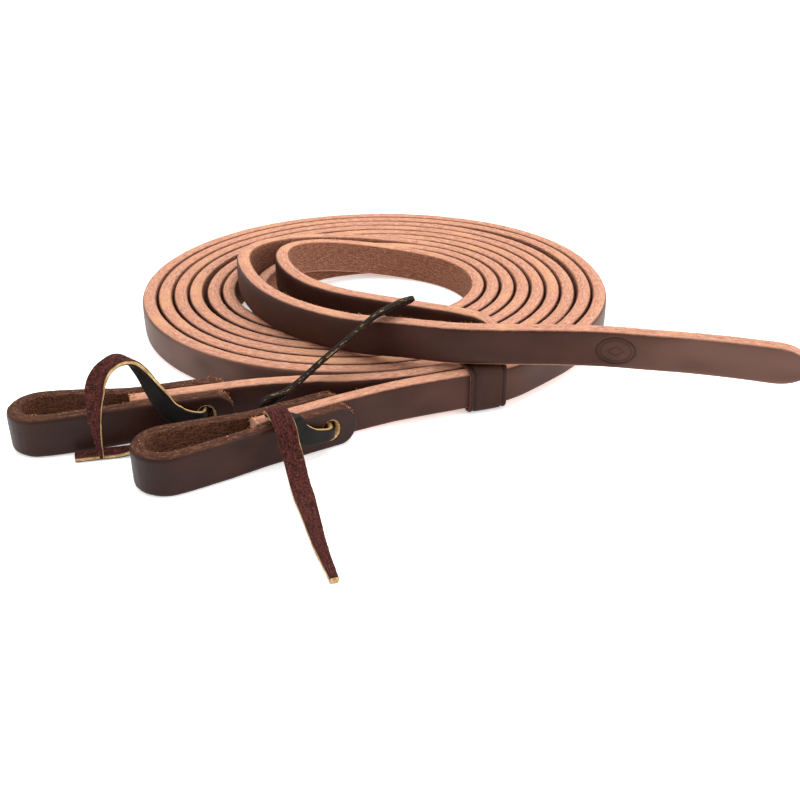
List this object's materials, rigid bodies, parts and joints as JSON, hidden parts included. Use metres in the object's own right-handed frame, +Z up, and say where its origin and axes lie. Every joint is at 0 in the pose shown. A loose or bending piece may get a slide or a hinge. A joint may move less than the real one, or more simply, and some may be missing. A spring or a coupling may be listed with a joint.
{
  "type": "split reins",
  "caption": "Leather split reins coiled together on edge, with laced water loops at their bit ends and a sliding keeper round both leads.",
  "frame": {"origin": "middle of the outline on the ground plan, on the surface that the coil stands on", "axes": "+Z up, square to the coil's plane; +X towards the reins' free ends; +Y from the bit ends to the far side of the coil"},
  "size_m": [0.3008, 0.3158, 0.0426],
  "materials": {
    "harness_leather": "oiled grain face, raw buffed edges",
    "oiled_harness_leather": "oiled grain face, dark rubbed edges",
    "keeper_leather": "smooth oiled grain",
    "latigo_leather": "waxed grain, fuzzy flesh side"
  },
  "bodies": {
    "reins": {"rein_strap_front": "harness_leather", "rein_strap_rear": "harness_leather", "water_loop_front": "oiled_harness_leather", "water_loop_rear": "oiled_harness_leather", "tie_lace_front": "latigo_leather", "tie_lace_rear": "latigo_leather"},
    "keeper": {"keeper_band": "keeper_leather"}
  },
  "joints": [
    {"name": "keeper_slide", "type": "slide", "parent": "reins", "child": "keeper", "axis": [-0.9397, -0.342, 0], "range_m": [0, 0.018]}
  ]
}
